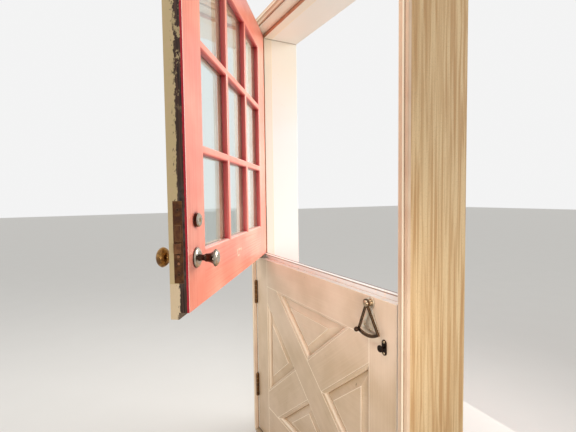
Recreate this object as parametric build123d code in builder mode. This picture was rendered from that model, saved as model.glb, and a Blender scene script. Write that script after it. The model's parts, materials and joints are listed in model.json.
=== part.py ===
"""Dutch stable door: two rebated leaves on one hinge line, in a milled timber frame.

X runs from the hinge side to the latch side, Y from the room to the outside, Z up.
The origin is on the underside of the sill, midway between the jambs, in the plane of
the shut leaves' room face. The lower leaf stands shut and the upper leaf stands open.
"""
import os
from math import asin, atan2, cos, degrees, radians, sin

from build123d import *

# Leaves
leaf_width = 1016
leaf_thickness = 50
leaf_gap = 3
head_gap = 10
leaf_top = 2063
ledge_height = 942
lap_height = 18
lip_thickness = 22
lap_gap = 2
upper_open_angle = 35.27

# Frame and sill
jamb_depth = 240
jamb_thickness = 50
rebate_depth = 18
stop_gap = 1.5
sill_height = 22
sill_clearance = 4
sill_fall = 11
sill_nosing = 25
sill_room_edge = 20
frame_arris = 2

# Room side casing
casing_width = 39
casing_edge = 8
casing_flat = 12
casing_thickness = 14
casing_reveal = 8.5
casing_arris = 2
casing_bead_from_edge = 18
casing_bead_width = 8
casing_bead_height = 2.5
casing_quirk = 1.5

# Lower leaf joinery
stile_width = 122
lower_top_rail_width = 133
lower_bottom_rail_width = 169
brace_width = 128
sticking_step = 2
sticking_radius = 11
groove_depth = 8
groove_width = 10
groove_clearance = 0.5
bevel_width = 34
bevel_rise = 12
field_step = 3

# Upper leaf joinery
upper_top_rail_width = 102
upper_bottom_rail_width = 140
pane_columns = 3
pane_rows = 3
muntin_width = 26
ovolo_radius = 8
glass_set_back = 18
glass_thickness = 4
glass_clearance = 1
glazing_rebate = 8
bead_set_back = 4
mitre_gap = 0.3
bead_chamfer = 4

# Butt hinges
hinge_length = 114
hinge_leaf_reach = 52
hinge_leaf_thickness = 3
knuckle_radius = 7.5
knuckle_count = 5
knuckle_gap = 0.4
knuckle_stand_off = 0.5
pin_radius = 4
pin_tip_radius = 6.2
pin_tip_height = 4
shaft_clearance = 0.1
hinge_from_end = 185
hinge_from_foot = 235

# Mortise lock
backset = 58
lock_above_ledge = 200
case_length = 150
case_depth = 92
case_thickness = 20
faceplate_flange = 29
faceplate_width = 25
faceplate_thickness = 3
knob_below_lock = 47
cylinder_above_lock = 53
latch_below_lock = 15
latch_length = 63
latch_rise = 25
latch_thickness = 16
latch_throw = 11
latch_nose = 3
latch_shoulder = 1
dead_bolt_above_lock = 23
dead_bolt_length = 45
dead_bolt_rise = 40
dead_bolt_thickness = 16
dead_bolt_throw = 22
bolt_clearance = 0.3
button_radius = 6
button_length = 20
button_below_lock = 36
button_pitch = 18
button_travel = 1.5
spindle_width = 8
spindle_hole_radius = 6
screw_head_radius = 4
screw_length = 20
screw_from_case = 7

# Knobs, cylinder and thumb turn
rose_radius = 27
rose_thickness = 8
neck_radius = 9
neck_length = 3
neck_waist = 1
neck_flare = 2
outer_knob_radius = 23.5
outer_knob_foot = 26
outer_knob_widest = 52
outer_knob_reach = 60
inner_knob_radius = 27.5
inner_knob_foot = 29
inner_knob_widest = 44
inner_knob_reach = 57
socket_depth = 24
cylinder_radius = 18.5
cylinder_proud = 12
cylinder_chamfer = 3
cylinder_body_radius = 14
plug_radius = 6.5
keyway_width = 2
keyway_length = 9
keyway_depth = 6
thumb_rose_radius = 16
thumb_rose_thickness = 4
thumb_stem_radius = 5
thumb_collar = 2
thumb_grip_length = 26
thumb_grip_width = 7
thumb_grip_reach = 15
thumb_grip_edge = 1.5

# Strike plates
strike_thickness = 2
strike_margin = 24
strike_width = 34
pocket_clearance = 1

# Quadrant between the leaves
quadrant_from_edge = 113
quadrant_below_ledge = 20
quadrant_plate_radius = 98
quadrant_plate_angle = 52
quadrant_plate_thickness = 3
quadrant_head_radius = 18
quadrant_stand_off = 15
sector_radius = 104
sector_band = 10
sector_angle = 60
sector_hang_angle = 5
sector_leg = 8
sector_thickness = 5
sector_hub_radius = 14
quadrant_ball_radius = 8
quadrant_ball_sunk = 1.6
pivot_radius = 5
pivot_head_radius = 11
pivot_head_height = 6
keeper_length = 34
keeper_wall = 5
keeper_clearance = 0.5
keeper_arc_clearance = 2

# Small bolt of the lower leaf
turn_from_edge = 51
turn_below_ledge = 141
turn_plate_length = 47
turn_plate_width = 20
turn_plate_thickness = 3
turn_stem_radius = 4
turn_disc_radius = 10.5
turn_disc_thickness = 5
turn_disc_edge = 1.5
turn_reach = 20
small_bolt_radius = 6
small_bolt_length = 55
small_bolt_throw = 12
small_strike_length = 50
small_strike_width = 24
plate_chamfer = 1

# Places that follow from the sizes above
half_leaf = leaf_width / 2
jamb_face = half_leaf + leaf_gap
stop_face = leaf_thickness + stop_gap
inner_face = jamb_face - rebate_depth
frame_side = inner_face + jamb_thickness
head_face = leaf_top + head_gap
head_soffit = head_face - rebate_depth
leaf_foot = sill_height + sill_clearance
lip_foot = ledge_height + leaf_gap
tongue_top = ledge_height + lap_height
tongue_face = lip_thickness + lap_gap
upper_foot = tongue_top + leaf_gap
mid_thickness = leaf_thickness / 2
pin_x = -half_leaf - leaf_gap / 2
pin_stand_off = knuckle_radius + knuckle_stand_off
pin_y = -pin_stand_off
lock_height = ledge_height + lock_above_ledge
knob_height = lock_height - knob_below_lock
cylinder_height = lock_height + cylinder_above_lock
latch_height = lock_height - latch_below_lock
dead_bolt_height = lock_height + dead_bolt_above_lock
faceplate_length = case_length + 2 * faceplate_flange
small_bolt_height = ledge_height - turn_below_ledge
opened = (
    Pos(pin_x, pin_y, 0) * Rot(0, 0, -upper_open_angle) * Pos(-pin_x, -pin_y, 0)
)


def leaf_plane(depth=0):
    """Plane of the leaves at a depth from their room face: x along the width, y up."""
    return Plane.XZ.offset(-depth)


def write(piece, name, place=Location()):
    """Label a finished piece, put it in its place and write it out."""
    piece.part.move(place)
    piece.part.label = name
    export_step(piece.part, f"parts/{name}.step")


os.makedirs("parts", exist_ok=True)

# Hinge positions: two on each leaf
lower_hinges = [leaf_foot + hinge_from_foot, ledge_height - hinge_from_end]
upper_hinges = [lip_foot + hinge_from_end, leaf_top - hinge_from_end]
hinge_heights = lower_hinges + upper_hinges

# Side jambs: rebated section, stepped at the top to carry the head
with BuildSketch() as jamb_section:
    with Locations((-inner_face, 0)):
        Rectangle(jamb_thickness, jamb_depth, align=(Align.MAX, Align.MIN))
        Rectangle(rebate_depth, stop_face, align=(Align.MAX, Align.MIN), mode=Mode.SUBTRACT)
    shown = jamb_section.vertices().group_by(Axis.X)[-1]
    fillet(shown, radius=frame_arris)

with BuildSketch(Plane.XY.offset(head_soffit)) as head_seat:
    with Locations((0, stop_face)):
        Rectangle(2 * frame_side, jamb_depth - stop_face, align=(Align.CENTER, Align.MIN))

with BuildPart() as side_jamb:
    extrude(jamb_section.sketch, amount=head_face)
    extrude(head_seat.sketch, amount=rebate_depth, mode=Mode.SUBTRACT)

with BuildPart() as hinge_jamb:
    add(side_jamb.part)
    with Locations([(-jamb_face, 0, z) for z in hinge_heights]):
        Box(
            hinge_leaf_thickness, hinge_leaf_reach - pin_stand_off, hinge_length,
            align=(Align.MAX, Align.MIN, Align.CENTER), mode=Mode.SUBTRACT,
        )

# The lock's strike reaches past the latch and the dead bolt by the same margin
strike_foot = latch_height - latch_rise / 2 - strike_margin
strike_head = dead_bolt_height + dead_bolt_rise / 2 + strike_margin
strike_length = strike_head - strike_foot
strike_height = (strike_head + strike_foot) / 2

with BuildPart() as latch_jamb:
    add(mirror(side_jamb.part, about=Plane.YZ, mode=Mode.PRIVATE))
    with Locations((jamb_face, mid_thickness, strike_height)):
        Box(
            strike_thickness, strike_width, strike_length,
            align=(Align.MIN, Align.CENTER, Align.CENTER), mode=Mode.SUBTRACT,
        )
    with Locations((jamb_face, mid_thickness, small_bolt_height)):
        Box(
            strike_thickness, small_strike_width, small_strike_length,
            align=(Align.MIN, Align.CENTER, Align.CENTER), mode=Mode.SUBTRACT,
        )
    with Locations((jamb_face, mid_thickness, latch_height)):
        Box(
            latch_throw + pocket_clearance,
            latch_thickness + 2 * pocket_clearance,
            latch_rise + 2 * pocket_clearance,
            align=(Align.MIN, Align.CENTER, Align.CENTER), mode=Mode.SUBTRACT,
        )
    with Locations((jamb_face, mid_thickness, dead_bolt_height)):
        Box(
            dead_bolt_throw + pocket_clearance,
            dead_bolt_thickness + 2 * pocket_clearance,
            dead_bolt_rise + 2 * pocket_clearance,
            align=(Align.MIN, Align.CENTER, Align.CENTER), mode=Mode.SUBTRACT,
        )
    with Locations((jamb_face, mid_thickness, small_bolt_height)):
        Cylinder(
            small_bolt_radius + pocket_clearance, small_bolt_throw + pocket_clearance,
            rotation=(0, 90, 0), align=(Align.CENTER, Align.CENTER, Align.MIN),
            mode=Mode.SUBTRACT,
        )

# Head: the same rebated section, laid across both jambs
with BuildPart() as head_jamb:
    with BuildSketch(Plane.YZ):
        with Locations((0, head_soffit)):
            Rectangle(jamb_depth, jamb_thickness, align=Align.MIN)
            Rectangle(stop_face, rebate_depth, align=Align.MIN, mode=Mode.SUBTRACT)
    extrude(amount=frame_side, both=True)

# Sill: scribed between the jambs, falling away outside the leaves
with BuildPart() as sill:
    with BuildSketch(Plane.YZ) as sill_section:
        Polygon(
            (-sill_room_edge, 0),
            (-sill_room_edge, sill_height),
            (stop_face, sill_height),
            (jamb_depth + sill_nosing, sill_height - sill_fall),
            (jamb_depth + sill_nosing, 0),
            align=None,
        )
        nosing = sill_section.vertices().group_by(Axis.X)[-1].sort_by(Axis.Y)[-1]
        room_corner = sill_section.vertices().group_by(Axis.X)[0].sort_by(Axis.Y)[-1]
        fillet([nosing, room_corner], radius=(sill_height - sill_fall) / 3)
    extrude(amount=jamb_face, both=True)
    with BuildSketch():
        with Locations((0, stop_face)):
            Rectangle(
                2 * jamb_face, jamb_depth + sill_nosing - stop_face,
                align=(Align.CENTER, Align.MIN),
            )
            Rectangle(
                2 * inner_face, jamb_depth + sill_nosing - stop_face,
                align=(Align.CENTER, Align.MIN), mode=Mode.SUBTRACT,
            )
    extrude(amount=sill_height, mode=Mode.SUBTRACT)

# Casing profile: a thin inner edge, a slope up to a round bead, a quirk and a flat back band
bead_start = casing_bead_from_edge
bead_end = bead_start + casing_bead_width
bead_foot = casing_thickness - casing_bead_height
band_face = bead_foot - casing_quirk
with BuildSketch() as casing_profile:
    with BuildLine():
        Line((0, 0), (0, casing_edge - casing_arris))
        RadiusArc((0, casing_edge - casing_arris), (casing_arris, casing_edge), casing_arris)
        Polyline(
            (casing_arris, casing_edge),
            (casing_flat, casing_edge),
            (bead_start, bead_foot),
        )
        ThreePointArc(
            (bead_start, bead_foot),
            ((bead_start + bead_end) / 2, casing_thickness),
            (bead_end, bead_foot),
        )
        Polyline(
            (bead_end, bead_foot),
            (bead_end, band_face),
            (casing_width - casing_arris, band_face),
        )
        RadiusArc(
            (casing_width - casing_arris, band_face),
            (casing_width, band_face - casing_arris),
            casing_arris,
        )
        Polyline(
            (casing_width, band_face - casing_arris),
            (casing_width, 0),
            (0, 0),
        )
    make_face()

casing_inner = jamb_face + casing_reveal
casing_soffit = head_face + casing_reveal
side_casing_plane = Plane(origin=(casing_inner, 0, 0), x_dir=(1, 0, 0), z_dir=(0, 0, 1))
head_casing_plane = Plane(origin=(0, 0, casing_soffit), x_dir=(0, 0, 1), z_dir=(1, 0, 0))
mitre_plane = Plane(origin=(casing_inner, 0, casing_soffit), z_dir=(1, 0, -1))

with BuildPart() as latch_casing:
    with BuildSketch(side_casing_plane):
        add(mirror(casing_profile.sketch, about=Plane.XZ, mode=Mode.PRIVATE))
    extrude(amount=casing_soffit + casing_width)
    split(bisect_by=mitre_plane, keep=Keep.TOP)

with BuildPart() as hinge_casing:
    add(mirror(latch_casing.part, about=Plane.YZ, mode=Mode.PRIVATE))

with BuildPart() as head_casing:
    with BuildSketch(head_casing_plane):
        add(casing_profile.sketch)
    extrude(amount=casing_inner + casing_width, both=True)
    split(bisect_by=mitre_plane, keep=Keep.BOTTOM)
    opposite = Plane(origin=(-casing_inner, 0, casing_soffit), z_dir=(-1, 0, -1))
    split(bisect_by=opposite, keep=Keep.BOTTOM)

# Strike plates let into the latch jamb, one for the mortise lock and one for the small bolt
with BuildPart() as lock_strike:
    with Locations((jamb_face, mid_thickness, strike_height)):
        Box(
            strike_thickness, strike_width, strike_length,
            align=(Align.MIN, Align.CENTER, Align.CENTER),
        )
    with Locations((jamb_face, mid_thickness, latch_height)):
        Box(
            strike_thickness,
            latch_thickness + 2 * pocket_clearance,
            latch_rise + 2 * pocket_clearance,
            align=(Align.MIN, Align.CENTER, Align.CENTER), mode=Mode.SUBTRACT,
        )
    with Locations((jamb_face, mid_thickness, dead_bolt_height)):
        Box(
            strike_thickness,
            dead_bolt_thickness + 2 * pocket_clearance,
            dead_bolt_rise + 2 * pocket_clearance,
            align=(Align.MIN, Align.CENTER, Align.CENTER), mode=Mode.SUBTRACT,
        )

with BuildPart() as bolt_strike:
    with Locations((jamb_face, mid_thickness, small_bolt_height)):
        Box(
            strike_thickness, small_strike_width, small_strike_length,
            align=(Align.MIN, Align.CENTER, Align.CENTER),
        )
        Cylinder(
            small_bolt_radius + pocket_clearance, strike_thickness,
            rotation=(0, 90, 0), align=(Align.CENTER, Align.CENTER, Align.MIN),
            mode=Mode.SUBTRACT,
        )

# Butt hinges: five knuckles, three on the frame's leaf and two on the door's
knuckle_length = hinge_length / knuckle_count


def hinge_leaf(face_x, inward, knuckles, heights):
    """Hinge leaves let into a face, with their share of the knuckles, at each height."""
    side = Align.MIN if inward > 0 else Align.MAX
    reach = hinge_leaf_reach - pin_stand_off
    with BuildPart() as one_leaf:
        with Locations((face_x, 0, 0)):
            Box(hinge_leaf_thickness, reach, hinge_length,
                align=(side, Align.MIN, Align.CENTER))
        for number in knuckles:
            z = (number + 0.5) * knuckle_length - hinge_length / 2
            height = knuckle_length - knuckle_gap
            with Locations((face_x, 0, z)):
                Box(hinge_leaf_thickness, pin_stand_off, height,
                    align=(side, Align.MAX, Align.CENTER))
            with Locations((pin_x, pin_y, z)):
                Cylinder(knuckle_radius, height)
        with Locations((pin_x, pin_y, 0)):
            Cylinder(pin_radius + shaft_clearance, hinge_length, mode=Mode.SUBTRACT)
    with BuildPart() as leaves:
        with Locations([(0, 0, z) for z in heights]):
            add(one_leaf.part)
    return leaves


frame_knuckles = range(0, knuckle_count, 2)
door_knuckles = range(1, knuckle_count, 2)
frame_hinge_leaves = hinge_leaf(-jamb_face, -1, frame_knuckles, hinge_heights)
lower_hinge_leaves = hinge_leaf(-half_leaf, 1, door_knuckles, lower_hinges)
upper_hinge_leaves = hinge_leaf(-half_leaf, 1, door_knuckles, upper_hinges)

with BuildPart() as one_pin:
    Cylinder(pin_radius, hinge_length)
    with Locations((0, 0, hinge_length / 2)):
        Cylinder(pin_tip_radius, pin_tip_height, align=(Align.CENTER, Align.CENTER, Align.MIN))
    with Locations((0, 0, -hinge_length / 2)):
        Cylinder(pin_tip_radius, pin_tip_height, align=(Align.CENTER, Align.CENTER, Align.MAX))
    ends = one_pin.edges().filter_by(GeomType.CIRCLE).sort_by(Axis.Z)
    chamfer([ends[0], ends[-1]], length=pin_tip_height / 2)

with BuildPart() as hinge_pins:
    with Locations([(pin_x, pin_y, z) for z in hinge_heights]):
        add(one_pin.part)

# Lower leaf outlines, drawn on its room face: openings end where their moulding starts
opening_foot = leaf_foot + lower_bottom_rail_width
opening_head = ledge_height - lower_top_rail_width
opening_width = leaf_width - 2 * stile_width
opening_height = opening_head - opening_foot
opening_middle = (opening_head + opening_foot) / 2
brace_slope = degrees(atan2(opening_height, opening_width))
sticking_width = sticking_step + sticking_radius

with BuildSketch() as field_outline:
    with Locations((0, opening_middle)):
        Rectangle(opening_width, opening_height)

with BuildSketch() as falling_brace_outline:
    with Locations((0, opening_middle)):
        Rectangle(2 * leaf_width, brace_width, rotation=-brace_slope)
    add(field_outline.sketch, mode=Mode.INTERSECT)

with BuildSketch() as rising_brace_outline:
    with Locations((0, opening_middle)):
        Rectangle(2 * leaf_width, brace_width, rotation=brace_slope)
    add(field_outline.sketch, mode=Mode.INTERSECT)
    add(falling_brace_outline.sketch, mode=Mode.SUBTRACT)

with BuildSketch() as brace_openings:
    add(field_outline.sketch)
    add(falling_brace_outline.sketch, mode=Mode.SUBTRACT)
    add(rising_brace_outline.sketch, mode=Mode.SUBTRACT)

openings = brace_openings.sketch.faces()
head_opening = openings.sort_by(Axis.Y)[-1]
foot_opening = openings.sort_by(Axis.Y)[0]
hinge_opening = openings.sort_by(Axis.X)[0]
latch_opening = openings.sort_by(Axis.X)[-1]


def grown(outline, amount):
    """The outline moved out by an amount, or in where it is negative, corners kept sharp."""
    with BuildSketch() as result:
        add(outline)
        offset(amount=amount, kind=Kind.INTERSECTION)
    return result.sketch


def rims(piece, outlines, depth):
    """Edges of a leaf that follow the given outlines at a depth from its room face."""
    plane = leaf_plane(depth)
    level = piece.edges().filter_by_position(Axis.Y, depth - 0.01, depth + 0.01)
    middles = [plane.from_local_coords(e @ 0.5) for o in outlines for e in o.edges()]
    return ShapeList(level.sort_by_distance(middle)[0] for middle in middles)


def moulded_strip(opening, axis, place):
    """Strip of moulding on one side of an opening, mitred at both ends."""
    outer = opening.edges().sort_by(axis)[place]
    inner = grown(opening, -sticking_width).edges().sort_by_distance(outer @ 0.5)[0]
    with BuildSketch() as result:
        make_hull([outer, inner])
    return result.sketch


sight_lines = [grown(opening, -sticking_width) for opening in openings]

# Lower leaf blank: every moulding, groove and opening, before it is parted into members
with BuildPart() as lower_blank:
    with BuildSketch(Plane.YZ):
        Polygon(
            (0, leaf_foot),
            (leaf_thickness, leaf_foot),
            (leaf_thickness, tongue_top),
            (tongue_face, tongue_top),
            (tongue_face, ledge_height),
            (0, ledge_height),
            align=None,
        )
    extrude(amount=half_leaf, both=True)
    with BuildSketch(leaf_plane(sticking_step), leaf_plane(leaf_thickness)):
        add(openings)
    extrude(amount=sticking_step, mode=Mode.SUBTRACT)
    with BuildSketch(leaf_plane(leaf_thickness)):
        add(sight_lines)
    extrude(amount=leaf_thickness, mode=Mode.SUBTRACT)
    room_rims = rims(lower_blank, sight_lines, sticking_step)
    outer_rims = rims(lower_blank, sight_lines, leaf_thickness - sticking_step)
    fillet(room_rims + outer_rims, radius=sticking_radius)
    with BuildSketch(leaf_plane(mid_thickness + groove_width / 2)):
        for outline in sight_lines:
            add(grown(outline, groove_depth))
    extrude(amount=groove_width, mode=Mode.SUBTRACT)


def cut_member(blank, outlines):
    """Member of a leaf: the part of the blank inside the outlines."""
    with BuildPart() as member:
        add(blank.part)
        with BuildSketch(leaf_plane(leaf_thickness)):
            add(outlines)
        extrude(amount=leaf_thickness, mode=Mode.INTERSECT)
    return member


def rectangle_between(left, right, foot, head):
    """Rectangle by its four sides, in the plane of the leaves."""
    with BuildSketch() as result:
        with Locations((left, foot)):
            Rectangle(right - left, head - foot, align=Align.MIN)
    return result.sketch


half_opening = opening_width / 2
plain_lower_hinge_stile = cut_member(lower_blank, [
    rectangle_between(-half_leaf, -half_opening, leaf_foot, tongue_top),
    moulded_strip(hinge_opening, Axis.X, 0),
])
plain_lower_latch_stile = cut_member(lower_blank, [
    rectangle_between(half_opening, half_leaf, leaf_foot, tongue_top),
    moulded_strip(latch_opening, Axis.X, -1),
])
lower_top_rail = cut_member(lower_blank, [
    rectangle_between(-half_opening, half_opening, opening_head, tongue_top),
    moulded_strip(head_opening, Axis.Y, -1),
])
lower_bottom_rail = cut_member(lower_blank, [
    rectangle_between(-half_opening, half_opening, leaf_foot, opening_foot),
    moulded_strip(foot_opening, Axis.Y, 0),
])
falling_brace = cut_member(lower_blank, [
    falling_brace_outline.sketch,
    moulded_strip(head_opening, Axis.X, 0),
    moulded_strip(hinge_opening, Axis.Y, -1),
    moulded_strip(latch_opening, Axis.Y, 0),
    moulded_strip(foot_opening, Axis.X, -1),
])
rising_braces = cut_member(lower_blank, [
    rising_brace_outline.sketch,
    moulded_strip(head_opening, Axis.X, -1),
    moulded_strip(latch_opening, Axis.Y, -1),
    moulded_strip(hinge_opening, Axis.Y, 0),
    moulded_strip(foot_opening, Axis.X, 0),
])

with BuildPart() as lower_hinge_stile:
    add(plain_lower_hinge_stile.part)
    with Locations([(-half_leaf, 0, z) for z in lower_hinges]):
        Box(
            hinge_leaf_thickness, hinge_leaf_reach - pin_stand_off, hinge_length,
            align=(Align.MIN, Align.MIN, Align.CENTER), mode=Mode.SUBTRACT,
        )

turn_x = half_leaf - turn_from_edge
small_bolt_tail = small_bolt_length + pocket_clearance
with BuildPart() as lower_latch_stile:
    add(plain_lower_latch_stile.part)
    with Locations((half_leaf, mid_thickness, small_bolt_height)):
        Cylinder(
            small_bolt_radius + shaft_clearance, small_bolt_tail,
            rotation=(0, 90, 0), align=(Align.CENTER, Align.CENTER, Align.MAX),
            mode=Mode.SUBTRACT,
        )
    with BuildSketch(leaf_plane()):
        with Locations((turn_x, small_bolt_height)):
            Circle(turn_stem_radius + shaft_clearance)
    extrude(amount=-mid_thickness, mode=Mode.SUBTRACT)


def raised_panel(opening):
    """Panel raised on both faces, its edge held in the groove round the opening."""
    sight_line = grown(opening, -sticking_width)
    edge_outline = grown(sight_line, groove_depth - groove_clearance)
    field = grown(sight_line, -bevel_width)
    with BuildPart() as panel:
        with BuildSketch(leaf_plane(mid_thickness)):
            add(edge_outline)
        extrude(amount=groove_width / 2, both=True)
        for side in (-1, 1):
            foot_depth = mid_thickness + side * groove_width / 2
            field_depth = foot_depth + side * bevel_rise
            with BuildSketch(leaf_plane(foot_depth)):
                add(sight_line)
            with BuildSketch(leaf_plane(field_depth)):
                add(field)
            loft(ruled=True)
            with BuildSketch(leaf_plane(field_depth)):
                add(field)
            extrude(amount=-side * field_step)
    return panel


head_panel = raised_panel(head_opening)
foot_panel = raised_panel(foot_opening)
hinge_panel = raised_panel(hinge_opening)
latch_panel = raised_panel(latch_opening)

# Upper leaf outlines: a grid of panes between the rails and stiles
glazed_foot = upper_foot + upper_bottom_rail_width
glazed_head = leaf_top - upper_top_rail_width
glazed_height = glazed_head - glazed_foot
glazed_middle = (glazed_head + glazed_foot) / 2
sight_width = opening_width - 2 * ovolo_radius
sight_height = glazed_height - 2 * ovolo_radius
pane_width = (sight_width - (pane_columns - 1) * muntin_width) / pane_columns
pane_height = (sight_height - (pane_rows - 1) * muntin_width) / pane_rows
pane_pitch_x = pane_width + muntin_width
pane_pitch_z = pane_height + muntin_width
glass_face = leaf_thickness - glass_set_back
glass_back = glass_face - glass_thickness


def pane_grid(growth):
    """One rectangle for each pane, larger than its sight line by a growth on every side."""
    with BuildSketch() as result:
        with Locations((0, glazed_middle)):
            with GridLocations(pane_pitch_x, pane_pitch_z, pane_columns, pane_rows):
                Rectangle(pane_width + 2 * growth, pane_height + 2 * growth)
    return result.sketch


# Upper leaf blank: panes moulded outside and rebated for the glass on the room side
pane_sight_lines = pane_grid(0)
with BuildPart() as upper_blank:
    with BuildSketch(Plane.YZ):
        Polygon(
            (0, lip_foot),
            (lip_thickness, lip_foot),
            (lip_thickness, upper_foot),
            (leaf_thickness, upper_foot),
            (leaf_thickness, leaf_top),
            (0, leaf_top),
            align=None,
        )
    extrude(amount=half_leaf, both=True)
    with BuildSketch(leaf_plane(leaf_thickness)):
        add(pane_sight_lines)
    extrude(amount=leaf_thickness, mode=Mode.SUBTRACT)
    fillet(rims(upper_blank, pane_sight_lines.faces(), leaf_thickness), radius=ovolo_radius)
    with BuildSketch(leaf_plane(glass_face)):
        add(pane_grid(glazing_rebate))
    extrude(amount=glass_face, mode=Mode.SUBTRACT)

top_rail_outline = rectangle_between(
    -half_opening, half_opening, glazed_head - ovolo_radius, leaf_top)
bottom_rail_outline = rectangle_between(
    -half_opening, half_opening, lip_foot, glazed_foot + ovolo_radius)
with BuildSketch() as bars_across:
    with Locations((0, glazed_middle)):
        with GridLocations(0, pane_pitch_z, 1, pane_rows - 1):
            Rectangle(opening_width, muntin_width)
with BuildSketch() as bars_upright:
    with Locations((0, glazed_middle)):
        with GridLocations(pane_pitch_x, 0, pane_columns - 1, 1):
            Rectangle(muntin_width, sight_height)
    add(bars_across.sketch, mode=Mode.SUBTRACT)
with BuildSketch() as stile_outline:
    add(rectangle_between(
        half_opening - ovolo_radius, half_leaf, lip_foot, leaf_top))
    add(top_rail_outline, mode=Mode.SUBTRACT)
    add(bottom_rail_outline, mode=Mode.SUBTRACT)
    add(bars_across.sketch, mode=Mode.SUBTRACT)

upper_top_rail = cut_member(upper_blank, top_rail_outline)
upper_bottom_rail = cut_member(upper_blank, bottom_rail_outline)
horizontal_muntins = cut_member(upper_blank, bars_across.sketch)
vertical_muntins = cut_member(upper_blank, bars_upright.sketch)
plain_upper_latch_stile = cut_member(upper_blank, stile_outline.sketch)

with BuildPart() as upper_hinge_stile:
    add(mirror(plain_upper_latch_stile.part, about=Plane.YZ, mode=Mode.PRIVATE))
    with Locations([(-half_leaf, 0, z) for z in upper_hinges]):
        Box(
            hinge_leaf_thickness, hinge_leaf_reach - pin_stand_off, hinge_length,
            align=(Align.MIN, Align.MIN, Align.CENTER), mode=Mode.SUBTRACT,
        )

# Glass and its beads, mitred at the corners of each pane
with BuildPart() as glass_panes:
    with BuildSketch(leaf_plane(glass_face)):
        add(pane_grid(glazing_rebate - glass_clearance))
    extrude(amount=glass_thickness)

with BuildSketch() as mitre_cuts:
    with Locations((0, glazed_middle)):
        with GridLocations(pane_pitch_x, pane_pitch_z, pane_columns, pane_rows):
            for turn in (-45, 45):
                corner_x = pane_width / 2
                corner_y = -pane_height / 2 if turn > 0 else pane_height / 2
                with Locations((corner_x, corner_y), (-corner_x, -corner_y)):
                    Rectangle(mitre_gap, 3 * glazing_rebate, rotation=turn)

with BuildPart() as glazing_beads:
    with BuildSketch(leaf_plane(glass_back)):
        add(pane_grid(glazing_rebate))
        add(pane_sight_lines, mode=Mode.SUBTRACT)
    extrude(amount=glass_back - bead_set_back)
    chamfer(rims(glazing_beads, pane_sight_lines.faces(), bead_set_back), length=bead_chamfer)
    with BuildSketch(leaf_plane(glass_back)):
        add(mitre_cuts.sketch)
    extrude(amount=glass_back, mode=Mode.SUBTRACT)

# Mortise lock: pocket in the latch stile, case, faceplate, bolts and stop buttons
knob_x = half_leaf - backset
case_front = half_leaf - faceplate_thickness
faceplate_screws_at = [
    lock_height - case_length / 2 - screw_from_case,
    lock_height + case_length / 2 + screw_from_case,
]
button_height = lock_height - button_below_lock
button_heights = [button_height, button_height - button_pitch]


def edge_box(front, depth, thickness, height, z, mode=Mode.ADD):
    """Box that runs back from the latch edge, centred in the thickness of the leaf."""
    with Locations((front, mid_thickness, z)):
        Box(depth, thickness, height, align=(Align.MAX, Align.CENTER, Align.CENTER), mode=mode)


def edge_hole(front, radius, depth, z):
    """Round hole that runs back from the latch edge in the middle of the thickness."""
    with Locations((front, mid_thickness, z)):
        Cylinder(
            radius, depth, rotation=(0, 90, 0),
            align=(Align.CENTER, Align.CENTER, Align.MAX), mode=Mode.SUBTRACT,
        )


def bolt_holes(depth):
    """Ways for the two bolts and the two buttons, as deep as asked behind the edge."""
    play = 2 * bolt_clearance
    edge_box(half_leaf, min(depth, latch_length + pocket_clearance),
             latch_thickness + play, latch_rise + play, latch_height, Mode.SUBTRACT)
    edge_box(half_leaf, min(depth, dead_bolt_length + bolt_clearance),
             dead_bolt_thickness + play, dead_bolt_rise + play, dead_bolt_height,
             Mode.SUBTRACT)
    for z in button_heights:
        edge_hole(half_leaf, button_radius + bolt_clearance,
                  min(depth, button_length + bolt_clearance), z)


def knob_way(plane, radius, reach, z):
    """Round way through the latch stile on the lock's vertical line."""
    with BuildSketch(plane) as way:
        with Locations((knob_x, z)):
            Circle(radius)
    extrude(way.sketch, amount=reach, mode=Mode.SUBTRACT)


with BuildPart() as upper_latch_stile:
    add(plain_upper_latch_stile.part)
    edge_box(half_leaf, faceplate_thickness, faceplate_width, faceplate_length,
             lock_height, Mode.SUBTRACT)
    edge_box(case_front, case_depth, case_thickness, case_length, lock_height, Mode.SUBTRACT)
    for z in faceplate_screws_at:
        edge_hole(case_front, screw_head_radius / 2, screw_length - faceplate_thickness, z)
    knob_way(leaf_plane(leaf_thickness), neck_radius + shaft_clearance, leaf_thickness,
             knob_height)
    knob_way(leaf_plane(leaf_thickness), cylinder_body_radius, mid_thickness,
             cylinder_height)
    knob_way(leaf_plane(mid_thickness), thumb_stem_radius + shaft_clearance, mid_thickness,
             cylinder_height)

with BuildPart() as lock_case:
    edge_box(case_front, case_depth, case_thickness, case_length, lock_height)
    bolt_holes(case_depth)
    knob_way(leaf_plane(leaf_thickness), spindle_hole_radius, leaf_thickness, knob_height)

with BuildPart() as faceplate:
    edge_box(half_leaf, faceplate_thickness, faceplate_width, faceplate_length, lock_height)
    bolt_holes(faceplate_thickness)
    with Locations(*[
        Plane(origin=(half_leaf, mid_thickness, z), x_dir=(0, 1, 0), z_dir=(1, 0, 0)).location
        for z in faceplate_screws_at
    ]):
        CounterSinkHole(screw_head_radius / 2, screw_head_radius, faceplate_thickness)

with BuildPart() as faceplate_screws:
    for z in faceplate_screws_at:
        with Locations((half_leaf, mid_thickness, z)):
            Cone(
                screw_head_radius / 2, screw_head_radius, screw_head_radius / 2,
                rotation=(0, 90, 0), align=(Align.CENTER, Align.CENTER, Align.MAX),
            )
            Cylinder(
                screw_head_radius / 2, screw_length,
                rotation=(0, 90, 0), align=(Align.CENTER, Align.CENTER, Align.MAX),
            )

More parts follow.
